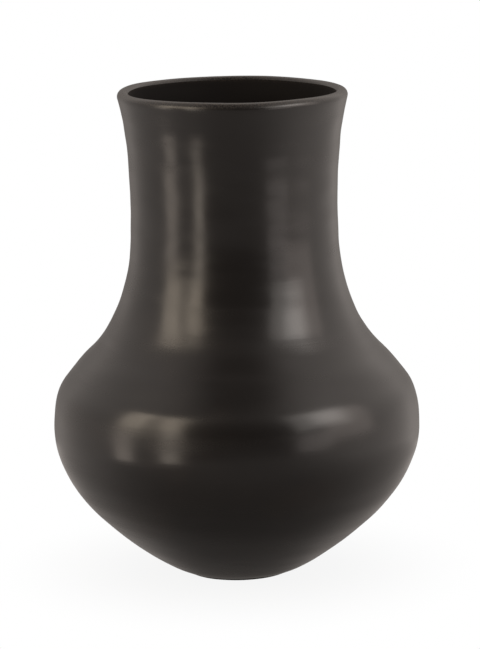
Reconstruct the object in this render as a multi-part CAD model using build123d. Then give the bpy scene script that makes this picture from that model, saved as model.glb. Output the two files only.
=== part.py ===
from build123d import *
import os
from math import cos, radians, sin

# Coil-built black jar with a tall neck, standing on a small flat base.
#
# The jar is put together as a potter does it. A pat of clay pressed into a saucer makes the base and the
# start of the wall. Rings of clay rope are laid on its edge, one on the next, each bedded in a thumb groove
# and lapped down inside the ring below. The last ring is rounded into the lip. A thin coat of slip covers
# the outside, goes over the lip and runs a little way down inside the neck.
#
# All sizes are in millimetres and degrees. The axis of the jar is Z, and Z = 0 is the floor line.

# Outside form, from the floor line up; slopes are measured from the horizontal, along the rising wall
BASE_RADIUS = 30.0
FOOT_SLOPE = 23.0
LOWER_WALL_FULLNESS = 14.1  # swell of the lower wall beyond a straight line from base edge to belly
LOWER_WALL_SLOPE = 42.5
BELLY_RADIUS = 105.5
BELLY_HEIGHT = 85.6
SHOULDER_INSET = 6.8  # how far the shoulder stands in from the belly
SHOULDER_RISE = 28.1  # belly to shoulder
SHOULDER_SLOPE = 129.0
NECK_ROOT_SPREAD = 26.6  # how far the root of the neck stands out from the neck
NECK_ROOT_RISE = 15.5  # shoulder to root of the neck
NECK_ROOT_SLOPE = 138.0
NECK_RADIUS = 59.0
NECK_RISE = 75.8  # root of the neck to its narrowest place
RIM_FLARE = 6.2  # how far the rim stands out from the neck
RIM_RISE = 70.7  # narrowest place to the foot of the lip
RIM_SLOPE = 75.0
UPRIGHT = 90.0

# Clay wall
FLOOR_THICKNESS = 10.0
WALL_AT_FOOT = 8.0
WALL_AT_LIP = 6.0
MOULDED_WALL = 50.0  # length of wall, from the base edge, that belongs to the pressed base
COIL_COUNT = 15  # rings of rope between the base and the rim coil
COIL_LAP = 4.0  # how far each ring laps down inside the ring below
BED_DEPTH = 1.0  # depth of the thumb groove that each ring is bedded in

# Coat of slip
SLIP = 0.4
SLIP_FOOT = 4.0  # bare margin left along the wall above the base edge
MOUTH_COURSES = 4  # courses that the coat covers inside the neck, counted down from the lip


def heading(slope):
    """Direction of a wall that rises at this slope, in the plane of the outline."""
    return Vector(cos(radians(slope)), 0, sin(radians(slope)))


def outside_outline():
    """Finished outside, from the base edge to the foot of the lip."""
    foot = Vector(BASE_RADIUS, 0, 0)
    belly = Vector(BELLY_RADIUS, 0, BELLY_HEIGHT)
    chord = belly - foot
    swell = Vector(chord.Z, 0, -chord.X).normalized() * LOWER_WALL_FULLNESS
    lower_wall = foot + chord / 2 + swell
    shoulder = belly + Vector(-SHOULDER_INSET, 0, SHOULDER_RISE)
    neck_root = Vector(NECK_RADIUS + NECK_ROOT_SPREAD, 0, shoulder.Z + NECK_ROOT_RISE)
    neck = Vector(NECK_RADIUS, 0, neck_root.Z + NECK_RISE)
    rim = neck + Vector(RIM_FLARE, 0, RIM_RISE)
    stations = [
        (foot, FOOT_SLOPE),
        (lower_wall, LOWER_WALL_SLOPE),
        (belly, UPRIGHT),
        (shoulder, SHOULDER_SLOPE),
        (neck_root, NECK_ROOT_SLOPE),
        (neck, UPRIGHT),
        (rim, RIM_SLOPE),
    ]
    points = [point for point, _ in stations]
    return Spline(*points, tangents=[heading(slope) for _, slope in stations])


OUTSIDE = outside_outline()
WALL_LENGTH = OUTSIDE.length
COURSE_HEIGHT = (WALL_LENGTH - MOULDED_WALL) / (COIL_COUNT + 1)
JOINT_LENGTHS = [MOULDED_WALL + course * COURSE_HEIGHT for course in range(COIL_COUNT + 1)]


def along(length):
    """Direction of the wall at this length from the base edge."""
    return OUTSIDE.tangent_at(length, position_mode=PositionMode.LENGTH)


def inward(length, depth):
    """Point at this length from the base edge, this deep behind the finished outside."""
    tangent = along(length)
    normal = Vector(-tangent.Z, 0, tangent.X)
    return OUTSIDE.position_at(length, position_mode=PositionMode.LENGTH) + normal * depth


def wall_at(length):
    """Thickness of the clay, which tapers evenly from the foot to the lip."""
    return WALL_AT_FOOT + (WALL_AT_LIP - WALL_AT_FOOT) * length / WALL_LENGTH


def face_depth(length):
    """Depth of the clay's inner face behind the finished outside."""
    return SLIP + wall_at(length)


def clay_outside():
    """Outer face of the clay, one coat of slip behind the finished outside."""
    mid_courses = [length + COURSE_HEIGHT / 2 for length in JOINT_LENGTHS]
    mid_base = (SLIP_FOOT + MOULDED_WALL) / 2
    lengths = sorted([SLIP_FOOT, mid_base, *JOINT_LENGTHS, *mid_courses, WALL_LENGTH])
    points = [Vector(BASE_RADIUS - SLIP, 0, 0)] + [inward(length, SLIP) for length in lengths]
    return Spline(*points, tangents=[along(length) for length in [0, *lengths]])


def clay_inside():
    """Inner face of the clay, from the middle of the floor to the lip."""
    lengths = [length - COIL_LAP for length in JOINT_LENGTHS] + [WALL_LENGTH]
    points = [Vector(0, 0, FLOOR_THICKNESS)] + [inward(length, face_depth(length)) for length in lengths]
    return Spline(*points, tangents=[Vector(1, 0, 0)] + [along(length) for length in lengths])


def mouth_face():
    """Face of the coat inside the neck, from its lower edge up to the lip."""
    lengths = [length - COIL_LAP for length in JOINT_LENGTHS[-MOUTH_COURSES:]] + [WALL_LENGTH]
    points = [inward(length, face_depth(length) + SLIP) for length in lengths]
    return Spline(*points, tangents=[along(length) for length in lengths])


CLAY_OUTSIDE = clay_outside()
CLAY_INSIDE = clay_inside()
MOUTH_FACE = mouth_face()


def outer_end(joint):
    """Where a joint between two courses meets the clay's outer face."""
    return inward(JOINT_LENGTHS[joint], SLIP)


def inner_end(joint):
    """Where a joint meets the clay's inner face, lapped down below its outer end."""
    length = JOINT_LENGTHS[joint] - COIL_LAP
    return inward(length, face_depth(length))


def joint_line(joint):
    """Section of a bedded joint: it slopes down to the inside and dips into the thumb groove."""
    start, end = outer_end(joint), inner_end(joint)
    groove = (start + end) / 2 - along(JOINT_LENGTHS[joint]) * BED_DEPTH
    return ThreePointArc(start, groove, end)


def lip_line(outer_face, inner_face):
    """Half round over the lip, tangent to both faces of the wall."""
    start, end = outer_face @ 1, inner_face @ 1
    crest = (start + end) / 2 + along(WALL_LENGTH) * (end - start).length / 2
    return ThreePointArc(start, crest, end)


CLAY_LIP = lip_line(CLAY_OUTSIDE, CLAY_INSIDE)
FINISHED_LIP = lip_line(OUTSIDE, MOUTH_FACE)


def turned(*section):
    """Solid of revolution about the jar's axis, from the edges around its section."""
    return revolve(Face(Wire(section)), Axis.Z)


def moulded_base():
    """Floor and start of the wall, pressed in a saucer, with the first thumb groove on its edge."""
    floor = CLAY_INSIDE @ 0
    foot = CLAY_OUTSIDE @ 0
    return turned(
        Line((0, 0, 0), foot),
        CLAY_OUTSIDE.trim(foot, outer_end(0)),
        joint_line(0),
        CLAY_INSIDE.trim(floor, inner_end(0)),
        Line(floor, (0, 0, 0)),
    )


def coil(course):
    """One ring of rope, pinched and scraped to the wall's thickness."""
    return turned(
        joint_line(course),
        CLAY_OUTSIDE.trim(outer_end(course), outer_end(course + 1)),
        joint_line(course + 1),
        CLAY_INSIDE.trim(inner_end(course), inner_end(course + 1)),
    )


def rim_coil():
    """The last ring, rounded over into the lip."""
    return turned(
        joint_line(COIL_COUNT),
        CLAY_OUTSIDE.trim(outer_end(COIL_COUNT), CLAY_OUTSIDE @ 1),
        CLAY_LIP,
        CLAY_INSIDE.trim(inner_end(COIL_COUNT), CLAY_INSIDE @ 1),
    )


def polished_slip():
    """Coat from just above the base edge, up the outside, over the lip and down into the neck."""
    foot_outside, foot_clay = inward(SLIP_FOOT, 0), inward(SLIP_FOOT, SLIP)
    mouth_clay = inner_end(COIL_COUNT + 1 - MOUTH_COURSES)
    return turned(
        Line(foot_clay, foot_outside),
        OUTSIDE.trim(foot_outside, OUTSIDE @ 1),
        FINISHED_LIP,
        MOUTH_FACE,
        Line(MOUTH_FACE @ 0, mouth_clay),
        CLAY_INSIDE.trim(mouth_clay, CLAY_INSIDE @ 1),
        CLAY_LIP,
        CLAY_OUTSIDE.trim(foot_clay, CLAY_OUTSIDE @ 1),
    )


def main():
    """Builds every piece and writes each to its own file."""
    pieces = {"moulded_base": moulded_base()}
    for course in range(COIL_COUNT):
        pieces[f"coil_{course + 1:02d}"] = coil(course)
    pieces["rim_coil"] = rim_coil()
    pieces["polished_slip"] = polished_slip()
    os.makedirs("parts", exist_ok=True)
    for name, piece in pieces.items():
        export_step(piece, f"parts/{name}.step")
    box = Compound(children=list(pieces.values())).bounding_box()
    print(f"jar {box.size.Z:.1f} tall and {box.size.X:.1f} across, courses {COURSE_HEIGHT:.1f} along the wall")


main()
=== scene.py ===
"""Dresses the coil-built black jar and stands it in a plain pale studio.

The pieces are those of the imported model: a moulded base, rings of clay rope, a rim coil and a coat of slip.
Each is turned from its own section of the wall and then made a little uneven, as a hand leaves it. All the
pieces share that unevenness, so they stay nested. Lengths are in metres, and slopes and angles in degrees.
"""

import logging
import math
from dataclasses import dataclass, field
from enum import Enum

import bpy
import numpy as np
from mathutils import Matrix, Vector


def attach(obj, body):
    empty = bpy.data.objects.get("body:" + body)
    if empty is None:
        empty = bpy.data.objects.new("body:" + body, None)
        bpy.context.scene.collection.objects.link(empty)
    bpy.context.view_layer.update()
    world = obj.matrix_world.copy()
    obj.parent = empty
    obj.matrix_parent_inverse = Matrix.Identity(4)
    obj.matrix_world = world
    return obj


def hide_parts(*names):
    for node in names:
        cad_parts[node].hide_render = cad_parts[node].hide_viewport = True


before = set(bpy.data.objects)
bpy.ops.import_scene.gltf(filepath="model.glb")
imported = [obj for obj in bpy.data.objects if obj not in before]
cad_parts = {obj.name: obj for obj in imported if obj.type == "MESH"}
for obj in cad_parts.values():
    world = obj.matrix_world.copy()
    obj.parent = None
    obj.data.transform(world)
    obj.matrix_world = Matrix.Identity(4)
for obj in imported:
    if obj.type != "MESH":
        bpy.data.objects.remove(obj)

LOG = logging.getLogger("jar")
BODY = "root"
MILLIMETRES = 1000  # in a metre
MARK_RADIUS = 0.08  # one radius at which marks round the jar are measured, whatever the wall's own
EASING_SPREADS = 3  # half width of the window that evens out a curve, in spreads

WHOLE = "NodeSocketInt"
FLOAT = "NodeSocketFloat"
VECTOR = "NodeSocketVector"
GEOMETRY = "NodeSocketGeometry"
MATERIAL = "NodeSocketMaterial"
SHADER_TREE = "ShaderNodeTree"

Colour = tuple[float, float, float]
Node = bpy.types.Node
Tree = bpy.types.NodeTree
Socket = bpy.types.NodeSocket
Material = bpy.types.Material
Feed = float | tuple[float, ...] | Socket
Feeds = dict[str | int, Feed]


class Slot(Enum):
    """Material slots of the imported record."""

    BASE = "base_clay"
    COIL = "scraped_clay"
    SLIP = "burnished_slip"


# Node trees


@dataclass(frozen=True)
class Fade:
    """A smooth change from one level to another, between two places."""

    start: float
    end: float
    start_level: float = 0.0
    end_level: float = 1.0


class Graph:
    """A node tree under construction, with short calls for the usual steps."""

    FIRST_COLOUR, SECOND_COLOUR, MIXED_COLOUR = 6, 7, 2  # sockets of the Mix node

    def __init__(self, tree: Tree) -> None:
        """Takes the tree that the nodes go into."""
        self.tree = tree

    def feed(self, socket: Socket, value: Feed) -> None:
        """Links a socket to another, or sets its own value.

        Args:
            socket: Input that takes the value.
            value: Another socket, or a plain value.
        """
        if isinstance(value, Socket):
            self.tree.links.new(value, socket)
        else:
            socket.default_value = value

    def add(self, kind: str, feeds: Feeds | None = None, **settings: object) -> Node:
        """Adds a node.

        Args:
            kind: Blender's name for the type of node.
            feeds: Values or sockets for its inputs, by name or index.
            settings: Properties of the node.

        Returns:
            The new node.
        """
        node = self.tree.nodes.new(kind)
        for name, value in settings.items():
            setattr(node, name, value)
        for name, value in (feeds or {}).items():
            self.feed(node.inputs[name], value)
        return node

    def first(self, kind: str, feeds: Feeds | None = None, **settings: object) -> Socket:
        """Adds a node and returns its first output."""
        return self.add(kind, feeds, **settings).outputs[0]

    def math(self, operation: str, *values: Feed) -> Socket:
        """Adds one step of arithmetic and returns its result."""
        return self.first("ShaderNodeMath", dict(enumerate(values)), operation=operation)

    def vector(self, operation: str, *values: Feed) -> Socket:
        """Adds one step of vector arithmetic and returns the resulting vector."""
        return self.first("ShaderNodeVectorMath", dict(enumerate(values)), operation=operation)

    def combine(self, x: Feed, y: Feed, z: Feed) -> Socket:
        """Returns a vector made of three values."""
        return self.first("ShaderNodeCombineXYZ", {"X": x, "Y": y, "Z": z})

    def separate(self, vector: Feed) -> list[Socket]:
        """Returns the three values of a vector."""
        return list(self.add("ShaderNodeSeparateXYZ", {"Vector": vector}).outputs)

    def place(self) -> Socket:
        """Returns the place of each point in its own object's frame."""
        return self.add("ShaderNodeTexCoord").outputs["Object"]

    def ramp(self, value: Feed, start: Feed, end: Feed, low: Feed = 0.0, high: Feed = 1.0) -> Socket:
        """Returns a smooth step from low to high while a value goes from start to end."""
        feeds = {"Value": value, "From Min": start, "From Max": end, "To Min": low, "To Max": high}
        return self.first("ShaderNodeMapRange", feeds, interpolation_type="SMOOTHSTEP")

    def fade(self, value: Feed, fade: Fade) -> Socket:
        """Returns the level of a fade at a value."""
        return self.ramp(value, fade.start, fade.end, fade.start_level, fade.end_level)

    def noise(self, vector: Feed, scale: Feed, detail: float = 2.0, rough: float = 0.5) -> Socket:
        """Returns smooth noise between 0 and 1 at a place."""
        feeds = {"Vector": vector, "Scale": scale, "Detail": detail, "Roughness": rough}
        return self.first("ShaderNodeTexNoise", feeds)

    def mix_colour(self, share: Feed, first: Feed, second: Feed) -> Socket:
        """Returns a mix of two colours; a share of 1 is all of the second."""
        feeds = {0: share, self.FIRST_COLOUR: first, self.SECOND_COLOUR: second}
        return self.add("ShaderNodeMix", feeds, data_type="RGBA").outputs[self.MIXED_COLOUR]


def new_group(
    name: str, kind: str, inputs: dict[str, str], outputs: dict[str, str]
) -> tuple[Graph, dict[str, Socket], dict[str, Socket]]:
    """Starts a node group with named sockets.

    Args:
        name: Name of the group.
        kind: Blender's type of node tree.
        inputs: Type of each input socket, by name.
        outputs: Type of each output socket, by name.

    Returns:
        The graph, the sockets that carry its inputs in, and those that take its outputs, both by name.
    """
    tree = bpy.data.node_groups.new(name, kind)
    for direction, sockets in (("INPUT", inputs), ("OUTPUT", outputs)):
        for label, socket_type in sockets.items():
            tree.interface.new_socket(label, in_out=direction, socket_type=socket_type)
    graph = Graph(tree)
    entry = graph.add("NodeGroupInput")
    leave = graph.add("NodeGroupOutput")
    return graph, {n: entry.outputs[n] for n in inputs}, {n: leave.inputs[n] for n in outputs}


# The wall


@dataclass(frozen=True)
class Station:
    """A place on the outline that the wall passes at a known slope."""

    radius: float
    height: float
    slope: float

    @property
    def place(self) -> np.ndarray:
        """Radius and height as a point."""
        return np.array([self.radius, self.height])

    @property
    def heading(self) -> np.ndarray:
        """Direction of the rising wall as a unit vector."""
        return np.array([math.cos(math.radians(self.slope)), math.sin(math.radians(self.slope))])


def flowing_line(stations: list[Station], step: float) -> np.ndarray:
    """Samples a curve that flows through stations at their slopes.

    Args:
        stations: Places that the curve passes, in order.
        step: Distance between samples, about.

    Returns:
        Points of the curve, one row of radius and height each.
    """
    runs = []
    for low, high in zip(stations, stations[1:]):
        chord = float(np.linalg.norm(high.place - low.place))
        t = np.linspace(0, 1, max(2, round(chord / step)), endpoint=False)[:, None]
        runs.append(
            (2 * t**3 - 3 * t**2 + 1) * low.place
            + (t**3 - 2 * t**2 + t) * chord * low.heading
            + (3 * t**2 - 2 * t**3) * high.place
            + (t**3 - t**2) * chord * high.heading
        )
    runs.append(stations[-1].place[None, :])
    return np.vstack(runs)


def bent_line(start: np.ndarray, pull: np.ndarray, end: np.ndarray, count: int) -> np.ndarray:
    """Samples a curve from start to end that bends towards the point that pulls it."""
    t = np.linspace(0, 1, count)[:, None]
    return (1 - t) ** 2 * start + 2 * t * (1 - t) * pull + t**2 * end


def lengths_along(places: np.ndarray) -> np.ndarray:
    """Length from the first point to each point of a sampled curve."""
    return np.concatenate([[0.0], np.cumsum(np.linalg.norm(np.diff(places, axis=0), axis=1))])


def read_at(lengths: np.ndarray, known: np.ndarray, rows: np.ndarray) -> np.ndarray:
    """Reads rows of two values, which are known at some lengths, at other lengths."""
    return np.stack([np.interp(lengths, known, rows[:, i]) for i in range(2)], axis=1)


def eased(places: np.ndarray, reach: float, step: float) -> np.ndarray:
    """Evens out the bends of an evenly sampled curve, with its ends kept in place.

    Args:
        places: Points of the curve.
        reach: Spread of the Gaussian window.
        step: Distance between the points.

    Returns:
        As many points of the smoother curve.
    """
    half = int(round(EASING_SPREADS * reach / step))
    window = np.exp(-0.5 * (np.arange(-half, half + 1) * step / reach) ** 2)
    window /= window.sum()
    before = 2 * places[0] - places[half:0:-1]
    after = 2 * places[-1] - places[-2 : -half - 2 : -1]
    padded = np.vstack([before, places, after])
    return np.stack([np.convolve(padded[:, i], window, mode="valid") for i in range(2)], axis=1)


@dataclass(frozen=True)
class JarForm:
    """Driving sizes of the jar: its stations from the floor up, its clay wall and its coat of slip."""

    base_radius: float = 0.0300
    foot_slope: float = 23.0
    lower_wall_fullness: float = 0.0141
    lower_wall_slope: float = 42.5
    belly_radius: float = 0.1055
    belly_height: float = 0.0856
    shoulder_inset: float = 0.0068
    shoulder_rise: float = 0.0281
    shoulder_slope: float = 129.0
    neck_root_spread: float = 0.0266
    neck_root_rise: float = 0.0155
    neck_root_slope: float = 138.0
    neck_radius: float = 0.0590
    neck_rise: float = 0.0758
    rim_flare: float = 0.0062
    rim_rise: float = 0.0707
    rim_slope: float = 75.0
    upright: float = 90.0

    floor_thickness: float = 0.0100
    wall_at_foot: float = 0.0080
    wall_at_lip: float = 0.0060
    moulded_wall: float = 0.0500
    coil_count: int = 15
    coil_lap: float = 0.0040
    bed_depth: float = 0.0010

    slip: float = 0.0004
    slip_foot: float = 0.0040
    mouth_courses: int = 4

    def stations(self) -> list[Station]:
        """Finds the places that the finished outside passes.

        Returns:
            The stations, from the base edge to the foot of the lip.
        """
        foot = np.array([self.base_radius, 0.0])
        belly = np.array([self.belly_radius, self.belly_height])
        chord = belly - foot
        outward = np.array([chord[1], -chord[0]]) / np.linalg.norm(chord)
        lower = foot + chord / 2 + outward * self.lower_wall_fullness
        shoulder = belly + np.array([-self.shoulder_inset, self.shoulder_rise])
        root_height = shoulder[1] + self.neck_root_rise
        neck_height = root_height + self.neck_rise
        return [
            Station(*foot, self.foot_slope),
            Station(*lower, self.lower_wall_slope),
            Station(*belly, self.upright),
            Station(*shoulder, self.shoulder_slope),
            Station(self.neck_radius + self.neck_root_spread, root_height, self.neck_root_slope),
            Station(self.neck_radius, neck_height, self.upright),
            Station(self.neck_radius + self.rim_flare, neck_height + self.rim_rise, self.rim_slope),
        ]


class Wall:
    """The jar's wall as a line that is read at any length from the base edge and any depth behind it."""

    STEP = 0.0005  # between samples of the line
    EASING = 0.0020  # spread of the window that evens out its bends

    def __init__(self, form: JarForm) -> None:
        """Samples the finished outside of a form.

        Args:
            form: Driving sizes of the jar.
        """
        self.form = form
        rough = flowing_line(form.stations(), self.STEP)
        self.places = eased(self.evenly(rough), self.EASING, self.STEP)
        self.lengths = lengths_along(self.places)
        slopes = np.gradient(self.places, self.lengths, axis=0)
        self.headings = slopes / np.linalg.norm(slopes, axis=1)[:, None]
        self.total = float(self.lengths[-1])
        self.course = (self.total - form.moulded_wall) / (form.coil_count + 1)

    def evenly(self, places: np.ndarray) -> np.ndarray:
        """Samples a curve again.

        Args:
            places: Points of the curve.

        Returns:
            Points at even steps along it.
        """
        lengths = lengths_along(places)
        even = np.linspace(0, lengths[-1], round(lengths[-1] / self.STEP) + 1)
        return read_at(even, lengths, places)

    def heading(self, lengths: np.ndarray) -> np.ndarray:
        """Direction of the rising wall at each length, as unit vectors."""
        found = read_at(lengths, self.lengths, self.headings)
        return found / np.linalg.norm(found, axis=1)[:, None]

    def at(self, lengths: np.ndarray, depth: np.ndarray | float = 0.0) -> np.ndarray:
        """Points at each length from the base edge, at a depth behind the finished outside.

        Args:
            lengths: Lengths from the base edge, up the wall.
            depth: Depth of each point, or one depth for all.

        Returns:
            One row of radius and height for each length.
        """
        lengths = np.asarray(lengths, float)
        heading = self.heading(lengths)
        inward = np.stack([-heading[:, 1], heading[:, 0]], axis=1)
        outside = read_at(lengths, self.lengths, self.places)
        return outside + inward * np.broadcast_to(depth, lengths.shape)[:, None]

    def inner_depth(self, lengths: np.ndarray) -> np.ndarray:
        """Depth of the clay's inner face, which tapers from the foot to the lip."""
        foot, lip = self.form.wall_at_foot, self.form.wall_at_lip
        return self.form.slip + foot + (lip - foot) * (np.asarray(lengths, float) / self.total)

    @property
    def lip_depth(self) -> float:
        """Depth of the clay's inner face at the lip."""
        return float(self.inner_depth(np.array([self.total]))[0])

    def joint(self, number: int) -> float:
        """Length at which a joint between two courses meets the outside; joint 0 is the base's edge."""
        return self.form.moulded_wall + number * self.course

    def joint_line(self, number: int, count: int) -> np.ndarray:
        """Section of a bedded joint, from its outer to its inner end.

        Args:
            number: Joint, counted from the base.
            count: Points along it.

        Returns:
            One row of radius and height for each point.
        """
        outer_length = np.array([self.joint(number)])
        inner_length = outer_length - self.form.coil_lap
        outer = self.at(outer_length, self.form.slip)
        inner = self.at(inner_length, self.inner_depth(inner_length))
        pull = (outer + inner) / 2 - self.heading(outer_length) * self.form.bed_depth * 2
        return bent_line(outer, pull, inner, count)

    def lip(self, outer_depth: float, inner_depth: float, count: int) -> np.ndarray:
        """Half round over the lip, between two depths of the wall.

        Args:
            outer_depth: Depth at which it starts.
            inner_depth: Depth at which it ends.
            count: Points along it.

        Returns:
            One row of radius and height for each point.
        """
        top = np.array([self.total])
        middle = self.at(top, (outer_depth + inner_depth) / 2)
        outward = (self.at(top, outer_depth) - middle)[0]
        upward = self.heading(top)[0] * np.linalg.norm(outward)
        turn = np.linspace(0, math.pi, count)[:, None]
        return middle + np.cos(turn) * outward + np.sin(turn) * upward


# Sections of the pieces


@dataclass
class Section:
    """Half section of a piece, as rows of points that go round its outline."""

    CARRIED = (
        "section_radius", "section_height", "along", "polished", "scraped", "sway_radius", "sway_height"
    )

    closed: bool = True
    runs: list[np.ndarray] = field(default_factory=list)

    def add(
        self,
        places: np.ndarray,
        lengths: np.ndarray | float,
        polished: float = 0.0,
        scraped: float = 0.0,
        sways: np.ndarray | tuple[float, float] = (0.0, 0.0),
    ) -> None:
        """Adds a run of points to the outline.

        Args:
            places: Radius and height of each point.
            lengths: Length along the wall that each point belongs to.
            polished: Share of the stone's polish that the run takes.
            scraped: Share of the scraper's marks that the run takes.
            sways: How far each point follows an uneven edge, as radius and height.
        """
        single = [np.broadcast_to(values, len(places)) for values in (lengths, polished, scraped)]
        self.runs.append(np.column_stack([places, *single, np.broadcast_to(sways, places.shape)]))

    def mesh(self, name: str) -> bpy.types.Mesh:
        """Makes the outline a mesh of edges, with what the points carry as attributes.

        Args:
            name: Name of the mesh.

        Returns:
            The mesh, flat in the XZ plane.
        """
        points = np.vstack(self.runs)
        count = len(points)
        edges = [(i, i + 1) for i in range(count - 1)]
        if self.closed:
            edges.append((count - 1, 0))
        mesh = bpy.data.meshes.new(name)
        mesh.from_pydata([(r, 0.0, z) for r, z in points[:, :2].tolist()], edges, [])
        for label, values in zip(self.CARRIED, points.T):
            attribute = mesh.attributes.new(label, "FLOAT", "POINT")
            attribute.data.foreach_set("value", values.astype(np.float32))
        return mesh


# Turning and forming


@dataclass(frozen=True)
class Unevenness:
    """Noise round the jar: its scale, how fast it changes up the wall, and its detail."""

    scale: float
    rise: float = 0.0
    detail: float = 1.0


class Turning:
    """Geometry nodes that turn a section about the jar's axis and leave it as a hand forms it."""

    HAND = {
        "Segments": 300,
        "Out of Round": 0.0130,  # share of the radius
        "Coil Waves": 0.00055,
        "Rim Unevenness": 0.0012,
        "Edge Sway": 0.0030,
        "Scrape Depth": 0.00022,
        "Stone Facets": 0.00007,
        "Seed": 503.48,
    }
    FINISHES = ("Finish", "Polished Finish")
    EDGE = Unevenness(1.9, detail=3.0)
    OVAL = Unevenness(0.75, rise=6.0)
    WAVES = Unevenness(1.1, rise=48.0)
    TILT = Unevenness(0.8, rise=7.0)
    FACETS = Unevenness(26.0, rise=4.0, detail=2.0)
    SCORES = Unevenness(24.0, rise=9.0, detail=3.0)
    ONE_HEIGHT = 1.0  # height at which noise is read that doesn't change up the wall
    WAVES_GROW = Fade(0.0, 0.02)  # by radius, out from the middle of the floor
    RIM_GROWS = Fade(0.17, 0.28)  # by height, up the neck
    RUBBED = 0.5  # share of polish above which a face takes the polished finish
    POLE_GAP = 1e-6

    def __init__(self) -> None:
        """Builds the tree once; every piece uses it with its own section and finishes."""
        sizes = {name: WHOLE if isinstance(size, int) else FLOAT for name, size in self.HAND.items()}
        inputs = {"Section": GEOMETRY} | sizes | dict.fromkeys(self.FINISHES, MATERIAL)
        outputs = {"Piece": GEOMETRY}
        self.graph, self.inputs, ends = new_group("turned_clay", "GeometryNodeTree", inputs, outputs)
        self.tree = self.graph.tree
        marked = self.mark(self.form(self.turn()))
        smooth = self.graph.first("GeometryNodeSetShadeSmooth", {"Geometry": marked})
        real = self.graph.first("GeometryNodeRealizeInstances", {"Geometry": smooth})
        self.graph.feed(ends["Piece"], self.dress(real))

    def carried(self, name: str) -> Socket:
        """Returns what the points carry under a name."""
        return self.graph.first("GeometryNodeInputNamedAttribute", {"Name": name}, data_type="FLOAT")

    def turn(self) -> Socket:
        """Sweeps the section round a circle, stores how far each point is turned, and faces it outward.

        Returns:
            The swept section.
        """
        graph = self.graph
        circle = graph.first("GeometryNodeCurvePrimitiveCircle", {"Resolution": self.inputs["Segments"]})
        feeds = {"Geometry": circle, "Name": "turn", "Value": graph.first("GeometryNodeSplineParameter")}
        rail = graph.first("GeometryNodeStoreNamedAttribute", feeds, data_type="FLOAT", domain="POINT")
        profile = graph.first("GeometryNodeMeshToCurve", {"Mesh": self.inputs["Section"]})
        swept = graph.first("GeometryNodeCurveToMesh", {"Curve": rail, "Profile Curve": profile})
        return graph.first("GeometryNodeFlipFaces", {"Mesh": swept})

    def around(self) -> list[Socket]:
        """Cosine and sine of the angle that each point is turned by."""
        angle = self.graph.math("MULTIPLY", self.carried("turn"), 2 * math.pi)
        return [self.graph.math("COSINE", angle), self.graph.math("SINE", angle)]

    def uneven(self, ring: list[Socket], height: Feed, noise: Unevenness, amount: str) -> Socket:
        """Reads noise round the jar, in a place that the seed moves.

        Args:
            ring: Place round the jar, as two values.
            height: Place up the wall.
            noise: What the noise is like.
            amount: Name of the tree's input that says how strong it is.

        Returns:
            Noise between about minus and plus that amount.
        """
        graph = self.graph
        place = graph.combine(*ring, graph.math("MULTIPLY", height, noise.rise))
        moved = graph.vector("ADD", place, self.inputs["Seed"])
        signed = graph.math("MULTIPLY_ADD", graph.noise(moved, noise.scale, noise.detail), 2.0, -1.0)
        return graph.math("MULTIPLY", signed, self.inputs[amount])

    def form(self, turned: Socket) -> Socket:
        """Places the turned points, out of round, waved by the coils and uneven at the rim.

        Args:
            turned: The swept section.

        Returns:
            The formed wall, with its poles closed.
        """
        graph = self.graph
        ring = self.around()
        sway = self.uneven(ring, self.ONE_HEIGHT, self.EDGE, "Edge Sway")
        radius, height = (
            graph.math("MULTIPLY_ADD", self.carried("sway_" + side), sway, self.carried("section_" + side))
            for side in ("radius", "height")
        )

        growth = graph.math("ADD", self.uneven(ring, height, self.OVAL, "Out of Round"), 1.0)
        swell = self.uneven(ring, height, self.WAVES, "Coil Waves")
        waved = graph.fade(radius, self.WAVES_GROW)
        grown = graph.math("MULTIPLY_ADD", swell, waved, graph.math("MULTIPLY", radius, growth))

        lift = self.uneven(ring, self.ONE_HEIGHT, self.TILT, "Rim Unevenness")
        raised = graph.math("MULTIPLY_ADD", lift, graph.fade(height, self.RIM_GROWS), height)

        place = graph.combine(*(graph.math("MULTIPLY", grown, side) for side in ring), raised)
        placed = graph.first("GeometryNodeSetPosition", {"Geometry": turned, "Position": place})
        return graph.first("GeometryNodeMergeByDistance", {"Geometry": placed, "Distance": self.POLE_GAP})

    def mark(self, formed: Socket) -> Socket:
        """Presses the stone's facets and the scraper's marks into the faces that have them.

        Args:
            formed: The formed wall.

        Returns:
            The same wall with its marks.
        """
        graph = self.graph
        ring = [graph.math("MULTIPLY", side, MARK_RADIUS) for side in self.around()]
        along = self.carried("along")
        facets = self.uneven(ring, along, self.FACETS, "Stone Facets")
        scrapes = self.uneven(ring, along, self.SCORES, "Scrape Depth")
        facets = graph.math("MULTIPLY", facets, self.carried("polished"))
        depth = graph.math("ADD", facets, graph.math("MULTIPLY", scrapes, self.carried("scraped")))
        feeds = {0: graph.first("GeometryNodeInputNormal"), "Scale": depth}
        offset = graph.first("ShaderNodeVectorMath", feeds, operation="SCALE")
        return graph.first("GeometryNodeSetPosition", {"Geometry": formed, "Offset": offset})

    def dress(self, wall: Socket) -> Socket:
        """Gives the whole wall its finish, and the faces that the stone reaches their own.

        Args:
            wall: The marked wall.

        Returns:
            The finished piece.
        """
        feeds = {"Geometry": wall, "Material": self.inputs["Finish"]}
        plain = self.graph.first("GeometryNodeSetMaterial", feeds)
        rubbed = self.graph.math("GREATER_THAN", self.carried("polished"), self.RUBBED)
        feeds = {"Geometry": plain, "Selection": rubbed, "Material": self.inputs["Polished Finish"]}
        return self.graph.first("GeometryNodeSetMaterial", feeds)

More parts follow.
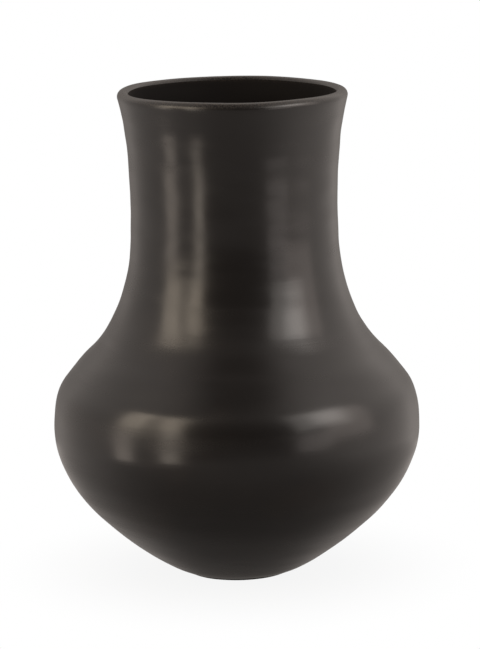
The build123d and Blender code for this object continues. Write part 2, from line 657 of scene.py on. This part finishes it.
    def apply(self, piece: bpy.types.Object, *finishes: Material) -> None:
        """Turns a section's object into a plain mesh.

        Args:
            piece: Object whose mesh is a section; its mesh is replaced.
            finishes: Its finish, and that of the faces that the stone reaches.
        """
        values = self.HAND | dict(zip(self.FINISHES, finishes))
        modifier = piece.modifiers.new("turning", "NODES")
        modifier.node_group = self.tree
        for item in self.tree.interface.items_tree:
            if item.in_out == "INPUT" and item.name in values:
                modifier[item.identifier] = values[item.name]
        section = piece.data
        graph = bpy.context.evaluated_depsgraph_get()
        made = bpy.data.meshes.new_from_object(piece.evaluated_get(graph))
        piece.modifiers.clear()
        piece.data = made
        bpy.data.meshes.remove(section)


# Shared effects of the finishes


class Effects:
    """Shader groups that more than one finish uses, each built once."""

    BEND_SCALE = 14.0  # of the noise that bends the strokes
    BEND_RISE = 0.010  # how far a stroke is bent up the wall
    FINE_STRETCH = (1.0, 1.0, 5.0)  # of the fine lines within a stroke
    EVEN_SHARE = 0.5  # of the strokes and of their fine lines in the relief
    CLOUD_START = 0.75  # noise at which clouds start when their share is nothing
    CLOUD_REACH = 0.5  # how far a full share lowers that
    CLOUD_EDGE = 0.25
    SPECK_EDGE = Fade(0.42, 0.20)  # by distance from the middle of a grain

    def __init__(self) -> None:
        """Builds the groups."""
        self.wall_frame = self.build_wall_frame()
        self.strokes = self.build_strokes()
        self.clouds = self.build_clouds()
        self.specks = self.build_specks()

    def build_wall_frame(self) -> Tree:
        """Makes coordinates that follow the wall: round the jar at one radius, and up the wall by length.

        Returns:
            The group.
        """
        graph, _, ends = new_group("wall_frame", SHADER_TREE, {}, {"Wall": VECTOR, "Height": FLOAT})
        x, y, z = graph.separate(graph.place())
        flat = graph.vector("NORMALIZE", graph.combine(x, y, 0.0))
        ring_x, ring_y, _ = graph.separate(graph.vector("MULTIPLY", flat, (MARK_RADIUS,) * 3))
        along = graph.add("ShaderNodeAttribute", attribute_name="along").outputs["Fac"]
        graph.feed(ends["Wall"], graph.combine(ring_x, ring_y, along))
        graph.feed(ends["Height"], z)
        return graph.tree

    def build_strokes(self) -> Tree:
        """Makes overlapping strokes of a tool that runs round the jar.

        Returns:
            The group.
        """
        inputs = {"Wall": VECTOR, "Length": FLOAT, "Width": FLOAT, "Seed": FLOAT}
        outputs = {"Stroke": FLOAT, "Height": FLOAT}
        graph, starts, ends = new_group("tool_strokes", SHADER_TREE, inputs, outputs)
        bend = graph.noise(starts["Wall"], self.BEND_SCALE, detail=1.0)
        x, y, z = graph.separate(starts["Wall"])
        rise = graph.math("MULTIPLY_ADD", bend, self.BEND_RISE, z)
        cell = graph.combine(
            graph.math("DIVIDE", x, starts["Length"]),
            graph.math("DIVIDE", y, starts["Length"]),
            graph.math("ADD", graph.math("DIVIDE", rise, starts["Width"]), starts["Seed"]),
        )
        cells = graph.add("ShaderNodeTexVoronoi", {"Vector": cell, "Scale": 1.0}, feature="SMOOTH_F1")
        shade = graph.separate(cells.outputs["Color"])[0]
        graph.feed(ends["Stroke"], shade)
        fine = graph.noise(graph.vector("MULTIPLY", cell, self.FINE_STRETCH), 1.0, detail=3.0, rough=0.6)
        broad = graph.math("MULTIPLY", shade, self.EVEN_SHARE)
        graph.feed(ends["Height"], graph.math("MULTIPLY_ADD", fine, self.EVEN_SHARE, broad))
        return graph.tree

    def build_clouds(self) -> Tree:
        """Makes soft clouds, as the smoke of the firing leaves them.

        Returns:
            The group.
        """
        inputs = {"Size": FLOAT, "Share": FLOAT, "Seed": FLOAT}
        graph, starts, ends = new_group("smoke_clouds", SHADER_TREE, inputs, {"Cloud": FLOAT})
        moved = graph.vector("ADD", graph.place(), graph.combine(starts["Seed"], starts["Seed"], 0.0))
        drift = graph.noise(moved, graph.math("DIVIDE", 1.0, starts["Size"]), detail=3.0, rough=0.55)
        lowered = graph.math("MULTIPLY", starts["Share"], self.CLOUD_REACH)
        start = graph.math("SUBTRACT", self.CLOUD_START, lowered)
        graph.feed(ends["Cloud"], graph.ramp(drift, start, graph.math("ADD", start, self.CLOUD_EDGE)))
        return graph.tree

    def build_specks(self) -> Tree:
        """Makes grains of temper, as they show in bare clay.

        Returns:
            The group.
        """
        inputs = {"Size": FLOAT, "Share": FLOAT}
        outputs = {"Speck": FLOAT, "Grain": FLOAT}
        graph, starts, ends = new_group("temper_specks", SHADER_TREE, inputs, outputs)
        place = graph.place()
        scale = graph.math("DIVIDE", 1.0, starts["Size"])
        cells = graph.add("ShaderNodeTexVoronoi", {"Vector": place, "Scale": scale})
        chance = graph.separate(cells.outputs["Color"])[1]
        chosen = graph.math("LESS_THAN", chance, starts["Share"])
        near = graph.fade(cells.outputs["Distance"], self.SPECK_EDGE)
        graph.feed(ends["Speck"], graph.math("MULTIPLY", chosen, near))
        graph.feed(ends["Grain"], graph.noise(place, scale, detail=4.0, rough=0.65))
        return graph.tree


# Finishes


def new_material(name: str) -> tuple[Graph, Node, Material]:
    """Starts a material.

    Args:
        name: Name of the material.

    Returns:
        Its graph, its Principled shader and the material.
    """
    material = bpy.data.materials.new(name)
    material.use_nodes = True
    graph = Graph(material.node_tree)
    shader = material.node_tree.nodes["Principled BSDF"]
    return graph, shader, material


def use_group(graph: Graph, tree: Tree, feeds: Feeds | None = None) -> Node:
    """Places a shader group in a material with its own values and returns the node."""
    return graph.add("ShaderNodeGroup", feeds, node_tree=tree)


def opaque(colour: Colour) -> tuple[float, float, float, float]:
    """A colour with full alpha."""
    return (*colour, 1.0)


@dataclass(frozen=True, kw_only=True)
class Finish:
    """What every finish of the jar has: strokes of a tool, clouds of smoke and relief."""

    name: str
    stroke_length: float
    stroke_width: float
    stroke_seed: float
    cloud_size: float
    cloud_share: float
    cloud_seed: float
    relief: float
    relief_depth: float

    def marks(self, graph: Graph, effects: Effects) -> tuple[Node, Node, Socket]:
        """Places the wall's frame, the strokes and the clouds in a material.

        Args:
            graph: Graph of the material.
            effects: Shader groups that the finishes share.

        Returns:
            The nodes of the frame and the strokes, and how much of a cloud there is.
        """
        wall = use_group(graph, effects.wall_frame)
        feeds = {"Length": self.stroke_length, "Width": self.stroke_width, "Seed": self.stroke_seed}
        strokes = use_group(graph, effects.strokes, {"Wall": wall.outputs["Wall"]} | feeds)
        feeds = {"Size": self.cloud_size, "Share": self.cloud_share, "Seed": self.cloud_seed}
        return wall, strokes, use_group(graph, effects.clouds, feeds).outputs["Cloud"]

    def press(self, graph: Graph, shader: Node, height: Socket) -> None:
        """Gives the shader the relief of a height."""
        feeds = {"Strength": self.relief, "Distance": self.relief_depth, "Height": height}
        graph.feed(shader.inputs["Normal"], graph.first("ShaderNodeBump", feeds))


@dataclass(frozen=True, kw_only=True)
class BurnishedSlip(Finish):
    """Black slip, rubbed with a smooth stone in strokes round the jar until it shines, or only wiped on."""

    name: str = "burnished_slip"
    black: Colour = (0.0075, 0.0064, 0.0060)
    smoke: Colour = (0.0140, 0.0108, 0.0092)
    rubbed: Colour = (0.0480, 0.0390, 0.0310)
    rough: float = 0.22
    stroke_rough: float = 0.08
    cloud_rough: float = 0.06
    grain_rough: float = 0.05
    wear_rough: float = 0.22
    sheen: float = 0.5
    refraction: float = 1.5
    stroke_length: float = 0.055
    stroke_width: float = 0.0065
    stroke_seed: float = 3.0
    cloud_size: float = 0.11
    cloud_share: float = 0.55
    cloud_seed: float = 4.2
    grain_size: float = 0.0009
    crest: Fade = Fade(0.276, 0.281)  # by height, up to the top of the lip
    worn_grain: Fade = Fade(0.42, 0.62)
    relief: float = 0.40
    relief_depth: float = 0.00012

    def build(self, effects: Effects) -> Material:
        """Builds the material, worn on the crest of the lip.

        Args:
            effects: Shader groups that the finishes share.

        Returns:
            The material.
        """
        graph, shader, material = new_material(self.name)
        wall, strokes, cloud = self.marks(graph, effects)
        grain = use_group(graph, effects.specks, {"Size": self.grain_size}).outputs["Grain"]

        near_crest = graph.fade(wall.outputs["Height"], self.crest)
        wear = graph.math("MULTIPLY", near_crest, graph.fade(grain, self.worn_grain))
        colour = graph.mix_colour(cloud, opaque(self.black), opaque(self.smoke))
        graph.feed(shader.inputs["Base Color"], graph.mix_colour(wear, colour, opaque(self.rubbed)))

        rough = self.rough - self.stroke_rough / 2
        roughened = (
            (strokes.outputs["Stroke"], self.stroke_rough),
            (cloud, self.cloud_rough),
            (grain, self.grain_rough),
            (wear, self.wear_rough),
        )
        for mask, amount in roughened:
            rough = graph.math("MULTIPLY_ADD", mask, amount, rough)
        graph.feed(shader.inputs["Roughness"], rough)

        self.press(graph, shader, strokes.outputs["Height"])
        shader.inputs["IOR"].default_value = self.refraction
        shader.inputs["Specular IOR Level"].default_value = self.sheen
        return material


@dataclass(frozen=True, kw_only=True)
class ScrapedClay(Finish):
    """Smoke-blackened clay, scraped with a gourd rind and left matte."""

    dark: Colour
    pale: Colour
    speck: Colour
    worn: Colour
    worn_below: float = -1.0
    worn_fade: float = 0.0012
    worn_grain: Fade = Fade(0.36, 0.60)
    stroke_length: float = 0.030
    stroke_width: float = 0.0028
    stroke_seed: float = 11.0
    stroke_tone: float = 0.35
    cloud_size: float = 0.05
    cloud_share: float = 0.6
    cloud_seed: float = 1.7
    speck_size: float = 0.0011
    speck_share: float = 0.09
    rough: float = 0.70
    grain_rough: float = 0.2
    grain_relief: float = 0.4
    relief: float = 0.6
    relief_depth: float = 0.0004

    def build(self, effects: Effects) -> Material:
        """Builds the material, worn below a height if it has one.

        Args:
            effects: Shader groups that the finishes share.

        Returns:
            The material.
        """
        graph, shader, material = new_material(self.name)
        wall, strokes, cloud = self.marks(graph, effects)
        specks = use_group(graph, effects.specks, {"Size": self.speck_size, "Share": self.speck_share})
        grain = specks.outputs["Grain"]

        clouded = graph.math("MULTIPLY", cloud, 1 - self.stroke_tone)
        tone = graph.math("MULTIPLY_ADD", strokes.outputs["Stroke"], self.stroke_tone, clouded)
        colour = graph.mix_colour(tone, opaque(self.dark), opaque(self.pale))
        colour = graph.mix_colour(specks.outputs["Speck"], colour, opaque(self.speck))
        low = graph.ramp(wall.outputs["Height"], self.worn_below + self.worn_fade, self.worn_below)
        wear = graph.math("MULTIPLY", low, graph.fade(grain, self.worn_grain))
        graph.feed(shader.inputs["Base Color"], graph.mix_colour(wear, colour, opaque(self.worn)))

        rough = graph.math("MULTIPLY_ADD", grain, self.grain_rough, self.rough)
        graph.feed(shader.inputs["Roughness"], rough)
        height = graph.math("MULTIPLY_ADD", grain, self.grain_relief, strokes.outputs["Height"])
        self.press(graph, shader, height)
        return material


BURNISHED = BurnishedSlip()
WIPED = BurnishedSlip(name="wiped_slip", rough=0.72, sheen=0.10, stroke_length=0.035)
BASE_CLAY = ScrapedClay(
    name="base_clay",
    dark=(0.020, 0.018, 0.016),
    pale=(0.046, 0.041, 0.036),
    speck=(0.15, 0.14, 0.12),
    worn=(0.13, 0.115, 0.10),
    worn_below=0.0004,
)
COIL_CLAY = ScrapedClay(
    name="scraped_clay",
    dark=(0.016, 0.0145, 0.013),
    pale=(0.038, 0.034, 0.030),
    speck=(0.13, 0.12, 0.10),
    worn=(0.038, 0.034, 0.030),
)


# Pieces of the jar


@dataclass
class Piece:
    """One piece of the jar: its section, its finishes and a slot of the record, which the build doesn't use.
    """

    SHARP_ANGLE = 38.0  # between faces that don't shade as one

    name: str
    slot: Slot
    section: Section
    finish: Material
    polished_finish: Material | None = None

    def build(self, turning: Turning) -> bpy.types.Object:
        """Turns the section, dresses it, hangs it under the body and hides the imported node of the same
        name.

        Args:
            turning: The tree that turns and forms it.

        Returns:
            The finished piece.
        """
        piece = bpy.data.objects.new(self.name + "_dressed", self.section.mesh(self.name))
        bpy.context.scene.collection.objects.link(piece)
        turning.apply(piece, self.finish, self.polished_finish or self.finish)
        piece.data.set_sharp_from_angle(angle=math.radians(self.SHARP_ANGLE))
        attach(piece, BODY)
        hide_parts(self.name)
        return piece


@dataclass
class ClayBody:
    """The moulded base, the coils and the rim coil, laid one on the next."""

    wall: Wall
    foot_round: float = 0.0008
    foot_share: float = 0.25  # of the bare margin that the rounded foot takes up
    foot_rows: int = 4
    underside_rows: int = 14
    base_rows: int = 28
    floor_step: float = 0.0016
    joint_rows: int = 5
    lip_rows: int = 10
    outer_rows: int = 6
    inner_rows: int = 14
    groove_depth: float = 0.00025
    groove_width: float = 0.0009

    def inner_face(self, high: float, low: float) -> tuple[np.ndarray, np.ndarray]:
        """Inner face of a course, from its top down, with a faint groove at each joint.

        Args:
            high: Length along the wall of its upper joint.
            low: Length along the wall of its lower joint.

        Returns:
            The points and their lengths along the wall.
        """
        lengths = np.linspace(high, low, self.inner_rows)
        gap = np.minimum(np.abs(lengths - high), np.abs(lengths - low))
        groove = self.groove_depth * np.exp(-((gap / self.groove_width) ** 2))
        return self.wall.at(lengths, self.wall.inner_depth(lengths) - groove), lengths

    def course(self, number: int, top: float, crown: np.ndarray, lap: float, scraped: float) -> Section:
        """Draws a ring of clay, from its lower joint up to its crown.

        Args:
            number: Its lower joint, counted from the base.
            top: Length along the wall at which its outside ends.
            crown: Section of its top, from the outside to the inside.
            lap: How far below that length its inner face starts.
            scraped: Share of the scraper's marks on its inner face.

        Returns:
            Its section.
        """
        wall, form, section = self.wall, self.wall.form, Section()
        low = wall.joint(number)
        lengths = np.linspace(low, top, self.outer_rows)
        section.add(wall.at(lengths, form.slip), lengths)
        section.add(crown[1:-1], top)
        face, lengths = self.inner_face(top - lap, low - form.coil_lap)
        section.add(face, lengths, scraped=scraped)
        section.add(wall.joint_line(number, self.joint_rows)[-2:0:-1], low)
        return section

    def ring(self, number: int) -> Section:
        """Draws a coil, counted from the base."""
        crown = self.wall.joint_line(number + 1, self.joint_rows)
        return self.course(number, self.wall.joint(number + 1), crown, self.wall.form.coil_lap, scraped=1.0)

    def rim(self) -> Section:
        """Draws the last ring, rounded over into the lip."""
        crown = self.wall.lip(self.wall.form.slip, self.wall.lip_depth, self.lip_rows)
        return self.course(self.wall.form.coil_count, self.wall.total, crown, lap=0.0, scraped=0.0)

    def base(self) -> Section:
        """Draws the floor and the start of the wall, from the middle of the underside to the inside.

        Returns:
            Their section.
        """
        wall, form, section = self.wall, self.wall.form, Section(closed=False)
        edge = form.base_radius - form.slip
        flat = np.linspace(0.0, edge - self.foot_round, self.underside_rows)
        section.add(np.stack([flat, np.zeros_like(flat)], axis=1), flat - edge)
        first = form.slip_foot * self.foot_share
        start, corner = np.array([edge - self.foot_round, 0.0]), np.array([edge, 0.0])
        end = wall.at(np.array([first]), form.slip)
        section.add(bent_line(start, corner, end, self.foot_rows)[1:], 0.0)
        lengths = np.linspace(first, form.moulded_wall, self.base_rows)[1:]
        section.add(wall.at(lengths, form.slip), lengths)
        section.add(wall.joint_line(0, self.joint_rows)[1:-1], form.moulded_wall)

        top = np.array([form.moulded_wall - form.coil_lap])
        radius, height = wall.at(top, wall.inner_depth(top))[0]
        heading = wall.heading(top)[0]
        slope = math.degrees(math.atan2(heading[1], heading[0]))
        ends = [Station(0.0, form.floor_thickness, 0.0), Station(radius, height, slope)]
        inside = flowing_line(ends, self.floor_step)[::-1]
        section.add(inside, top[0] - lengths_along(inside), scraped=1.0)
        return section

    def pieces(self, base_finish: Material, coil_finish: Material) -> list[Piece]:
        """The clay's pieces, from the floor up.

        Args:
            base_finish: Finish of the moulded base.
            coil_finish: Finish of the coils.

        Returns:
            The pieces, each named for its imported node.
        """
        made = [Piece("moulded_base", Slot.BASE, self.base(), base_finish)]
        for number in range(self.wall.form.coil_count):
            made.append(Piece(f"coil_{number + 1:02d}", Slot.COIL, self.ring(number), coil_finish))
        made.append(Piece("rim_coil", Slot.COIL, self.rim(), coil_finish))
        return made


@dataclass
class SlipCoat:
    """The coat of slip: up the outside, over the lip and a little way down into the neck."""

    wall: Wall
    row_step: float = 0.0020
    back_step: float = 0.0045
    lip_rows: int = 15
    feather: float = 0.0060
    edge_share: float = 0.2
    foot_sway: float = 0.25
    mouth_sway: float = 1.0

    def thinned(self, distance: np.ndarray) -> np.ndarray:
        """Share of the coat's full thickness at a distance from its edge."""
        t = np.clip(distance / self.feather, 0.0, 1.0)
        return self.edge_share + (1 - self.edge_share) * t * t * (3 - 2 * t)

    def following(self, lengths: np.ndarray, edge: float, amount: float) -> np.ndarray:
        """How far points near an edge of the coat follow its uneven line.

        Args:
            lengths: Lengths along the wall.
            edge: Length at which the coat ends.
            amount: Share of the sway at the edge itself.

        Returns:
            One row of radius and height for each length.
        """
        fade = np.clip(1 - np.abs(lengths - edge) / (2 * self.feather), 0.0, 1.0)
        return self.wall.heading(lengths) * (fade * amount)[:, None]

    def section(self) -> Section:
        """Draws the coat, up its face and back down behind it.

        Returns:
            Its section.
        """
        wall, form, section = self.wall, self.wall.form, Section()
        foot, top, inner = form.slip_foot, wall.total, wall.lip_depth
        mouth = wall.joint(form.coil_count + 1 - form.mouth_courses) - form.coil_lap

        up = np.linspace(foot, top, round((top - foot) / self.row_step))
        depth = form.slip * (1 - self.thinned(up - foot))
        section.add(wall.at(up, depth), up, polished=1.0, sways=self.following(up, foot, self.foot_sway))
        section.add(wall.lip(0.0, inner + form.slip, self.lip_rows)[1:-1], top, polished=1.0)
        down = np.linspace(top, mouth, round((top - mouth) / self.row_step))
        depth = wall.inner_depth(down) + form.slip * self.thinned(down - mouth)
        section.add(wall.at(down, depth), down, sways=self.following(down, mouth, self.mouth_sway))

        back = np.linspace(mouth, top, round((top - mouth) / self.back_step))
        sways = self.following(back, mouth, self.mouth_sway)
        section.add(wall.at(back, wall.inner_depth(back)), back, sways=sways)
        section.add(wall.lip(form.slip, inner, self.lip_rows)[-2:0:-1], top)
        back = np.linspace(top, foot, round((top - foot) / self.back_step))
        section.add(wall.at(back, form.slip), back, sways=self.following(back, foot, self.foot_sway))
        return section

    def piece(self, wiped: Material, burnished: Material) -> Piece:
        """The coat as a piece, wiped inside the neck and burnished outside and over the lip."""
        return Piece("polished_slip", Slot.SLIP, self.section(), wiped, burnished)


# The studio


@dataclass(frozen=True)
class Lamp:
    """A soft panel that faces the jar.

    Bearing is measured from the camera's side, to the right. A radiance of 1 is that of a white card in full
    light.
    """

    name: str
    bearing: float
    elevation: float
    width: float
    height: float
    radiance: float
    colour: Colour
    distance: float = 1.30

    def build(self, aim: Vector) -> None:
        """Makes the lamp.

        Args:
            aim: Point that it is turned to.
        """
        light = bpy.data.lights.new(self.name, "AREA")
        light.shape = "RECTANGLE"
        light.size = self.width
        light.size_y = self.height
        light.energy = self.radiance * math.pi * self.width * self.height
        light.color = self.colour
        lamp = bpy.data.objects.new(self.name, light)
        bearing, elevation = math.radians(self.bearing), math.radians(self.elevation)
        level = math.cos(elevation)
        away = Vector((math.sin(bearing) * level, -math.cos(bearing) * level, math.sin(elevation)))
        lamp.location = aim + away * self.distance
        lamp.rotation_euler = away.to_track_quat("Z", "Y").to_euler()
        lamp.visible_camera = False
        bpy.context.scene.collection.objects.link(lamp)


@dataclass
class Studio:
    """Pale floor, white surround, soft lamps and the camera.

    The floor's glow, as the jar's gloss sees it, carries painted light and shade: a painted shadow that
    darkens it towards the jar's axis, painted shade in front and painted light by how far round to the back
    a place lies. The surround fades by direction.
    """

    # Floor
    floor_radius: float = 0.34
    floor_sides: int = 128
    floor_drop: float = 0.0002
    floor_colour: Colour = (0.36, 0.36, 0.355)
    floor_rough: float = 0.9
    floor_contact: Fade = Fade(0.03, 0.15, 0.90)
    # painted light and shade of the floor's glow in the jar's gloss: painted shade in front, a painted shadow
    # near the jar, painted light at the back
    floor_painted_front_shade: Fade = Fade(-1.0, -0.1, 0.34, 0.70)
    floor_painted_shadow: Fade = Fade(0.05, 0.32, 0.56)
    floor_painted_back_light: Fade = Fade(0.3, 0.9, 0.0, 0.42)

    # Surround
    white: Colour = (1.0, 1.0, 1.0)
    ambient: float = 0.40
    room_colour: Colour = (1.0, 0.91, 0.85)
    room_sides: Fade = Fade(-0.8, 0.8, 0.74)
    room_rise: Fade = Fade(0.05, 0.50, 1.0, 1.20)
    front: Fade = Fade(0.05, -0.25, 0.09, 0.34)
    front_turn: Fade = Fade(-1.0, -0.05)
    overhead_rise: Fade = Fade(0.60, 0.95)
    overhead_back: Fade = Fade(0.60, -0.20)
    overhead_middle: Fade = Fade(0.55, 0.15)
    overhead_dim: float = 0.82
    behind: Fade = Fade(0.72, 1.0)
    behind_dim: float = 0.62

    # Camera
    camera_distance: float = 2.000
    camera_elevation: float = 11.0
    camera_roll: float = -0.783
    focal_pixels: float = 3481.0
    image_width: int = 480
    image_height: int = 649
    axis_pixel: tuple[float, float] = (235.3, 331.2)
    axis_height: float = 0.140
    sensor: float = 36.0

    # Lamps: name, bearing, elevation, width, height, radiance and colour
    lamps: tuple[Lamp, ...] = (
        Lamp("left_fill", -53.5, 23.0, 0.42, 0.72, 1.60, (1.0, 0.85, 0.68)),
        Lamp("left_near", -39.5, -3.0, 0.21, 0.58, 3.30, (1.0, 0.87, 0.74)),
        Lamp("left_near_top", -40.0, 23.5, 0.25, 0.68, 4.20, (1.0, 0.85, 0.68)),
        Lamp("left_far", -71.0, -6.5, 0.29, 0.48, 2.30, (1.0, 0.86, 0.74)),
        Lamp("left_far_top", -68.0, 21.5, 0.36, 0.76, 3.30, (1.0, 0.85, 0.68)),
        Lamp("key_right", 56.0, 25.0, 0.90, 0.72, 1.70, (1.0, 0.93, 0.87)),
        Lamp("right_core", 60.0, 26.5, 0.44, 0.50, 2.00, (1.0, 0.95, 0.91)),
        Lamp("right_near", 48.0, -2.0, 0.50, 0.30, 1.35, (1.0, 0.89, 0.84)),
        Lamp("right_far", 73.5, 15.0, 0.80, 0.90, 1.05, (1.0, 0.85, 0.78)),
    )

    def build(self) -> None:
        """Makes all of it."""
        self.build_floor()
        self.build_world()
        aim = Vector((0.0, 0.0, self.axis_height))
        for lamp in self.lamps:
            lamp.build(aim)
        self.build_camera()
        bpy.context.scene.view_settings.view_transform = "Standard"

    def rays(self, graph: Graph) -> tuple[Socket, Socket, Socket]:
        """Tells rays apart.

        Args:
            graph: Graph of the floor or the surround.

        Returns:
            Whether a ray comes from the camera, whether from something glossy, and the colour that it sees.
        """
        path = graph.add("ShaderNodeLightPath")
        camera = path.outputs["Is Camera Ray"]
        gloss = graph.math("MAXIMUM", path.outputs["Is Glossy Ray"], path.outputs["Is Transmission Ray"])
        return camera, gloss, graph.mix_colour(camera, opaque(self.room_colour), opaque(self.white))

    def build_floor(self) -> None:
        """Makes the floor: white to the camera but for the jar's shade, and dimmer with painted shade in its
        gloss.
        """
        mesh = bpy.data.meshes.new("floor")
        radius, level = self.floor_radius, -self.floor_drop
        turns = [2 * math.pi * i / self.floor_sides for i in range(self.floor_sides)]
        rim = [(radius * math.cos(turn), radius * math.sin(turn), level) for turn in turns]
        mesh.from_pydata(rim, [], [list(range(len(rim)))])
        floor = bpy.data.objects.new("floor", mesh)
        bpy.context.scene.collection.objects.link(floor)
        graph, shader, material = new_material("pale_floor")
        shader.inputs["Base Color"].default_value = opaque(self.floor_colour)
        shader.inputs["Roughness"].default_value = self.floor_rough
        shader.inputs["Specular IOR Level"].default_value = 0.0

        x, y, _ = graph.separate(graph.place())
        squares = [graph.math("MULTIPLY", side, side) for side in (x, y)]
        reach = graph.math("SQRT", graph.math("ADD", *squares))
        toward = graph.math("DIVIDE", y, reach)
        # painted shade and light: the glow that the jar's gloss sees is darkened in front and, as a painted
        # shadow, towards the jar, and lit at the back
        painted_front_shade = graph.fade(toward, self.floor_painted_front_shade)
        painted_shadow = graph.math("MULTIPLY", painted_front_shade, graph.fade(reach, self.floor_painted_shadow))
        painted_glow = graph.math("MAXIMUM", painted_shadow, graph.fade(toward, self.floor_painted_back_light))

        camera, gloss, colour = self.rays(graph)
        strength = graph.math("MAXIMUM", camera, painted_glow)
        glow = graph.first("ShaderNodeEmission", {"Color": colour, "Strength": strength})
        fade = graph.fade(reach, self.floor_contact)
        share = graph.math("MAXIMUM", graph.math("MULTIPLY", camera, fade), gloss)
        mix = graph.first("ShaderNodeMixShader", {0: share, 1: shader.outputs[0], 2: glow})
        graph.feed(material.node_tree.nodes["Material Output"].inputs["Surface"], mix)
        material.cycles.emission_sampling = "NONE"
        mesh.materials.append(material)

    def build_world(self) -> None:
        """Makes the surround: white to the camera, a room in the jar's gloss, and even light for the rest.

        The room is darker in front of the jar, overhead and straight behind it than at its sides.
        """
        world = bpy.data.worlds.new("studio")
        bpy.context.scene.world = world
        world.use_nodes = True
        world.cycles.sampling_method = "NONE"
        graph = Graph(world.node_tree)
        x, y, z = graph.separate(graph.add("ShaderNodeTexCoord").outputs["Generated"])

        front = graph.fade(z, self.front)
        sides = graph.math("MULTIPLY", graph.fade(x, self.room_sides), graph.fade(z, self.room_rise))
        turned = graph.fade(y, self.front_turn)
        room = graph.math("MULTIPLY_ADD", graph.math("SUBTRACT", sides, front), turned, front)
        above, back = graph.fade(z, self.overhead_rise), graph.fade(y, self.overhead_back)
        middle = graph.fade(graph.math("ABSOLUTE", x), self.overhead_middle)
        overhead = graph.math("MULTIPLY", graph.math("MULTIPLY", above, back), middle)
        behind = graph.fade(y, self.behind)
        for part, dim in ((overhead, self.overhead_dim), (behind, self.behind_dim)):
            room = graph.math("MULTIPLY", room, graph.math("MULTIPLY_ADD", part, -dim, 1.0))

        camera, gloss, colour = self.rays(graph)
        other = graph.math("MULTIPLY", graph.math("SUBTRACT", 1.0, gloss), self.ambient)
        strength = graph.math("MAXIMUM", camera, graph.math("MULTIPLY_ADD", gloss, room, other))
        background = world.node_tree.nodes["Background"]
        graph.feed(background.inputs["Color"], colour)
        graph.feed(background.inputs["Strength"], strength)

    def build_camera(self) -> None:
        """Makes the camera at the photograph's viewing angle, with the jar's axis at its pixel."""
        data = bpy.data.cameras.new("camera")
        data.sensor_width = self.sensor
        data.lens = self.focal_pixels * self.sensor / max(self.image_width, self.image_height)
        camera = bpy.data.objects.new("camera", data)
        elevation = math.radians(self.camera_elevation)
        back = Vector((0.0, -math.cos(elevation), math.sin(elevation)))
        middle = Vector((0.0, 0.0, self.axis_height))
        roll = Matrix.Rotation(math.radians(self.camera_roll), 3, "Z")
        turned = (-back).to_track_quat("-Z", "Y").to_matrix() @ roll
        scale = self.camera_distance / self.focal_pixels
        right = (self.image_width / 2 - self.axis_pixel[0]) * scale
        up = (self.axis_pixel[1] - self.image_height / 2) * scale
        camera.location = middle + back * self.camera_distance + turned @ Vector((right, up, 0.0))
        camera.rotation_euler = turned.to_euler()
        bpy.context.scene.collection.objects.link(camera)
        bpy.context.scene.camera = camera


def main() -> None:
    """Builds the jar's pieces and the studio in order, and reports each piece."""
    logging.basicConfig(level=logging.INFO, format="%(name)s: %(message)s")
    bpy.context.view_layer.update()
    wall = Wall(JarForm())
    LOG.info("wall %.1f mm long, courses %.1f mm", wall.total * MILLIMETRES, wall.course * MILLIMETRES)
    effects = Effects()
    turning = Turning()
    burnished, wiped = BURNISHED.build(effects), WIPED.build(effects)
    pieces = ClayBody(wall).pieces(BASE_CLAY.build(effects), COIL_CLAY.build(effects))
    pieces.append(SlipCoat(wall).piece(wiped, burnished))
    for piece in pieces:
        made = piece.build(turning)
        LOG.info("%s: %d faces", made.name, len(made.data.polygons))
    Studio().build()


if __name__ == "__main__":
    main()
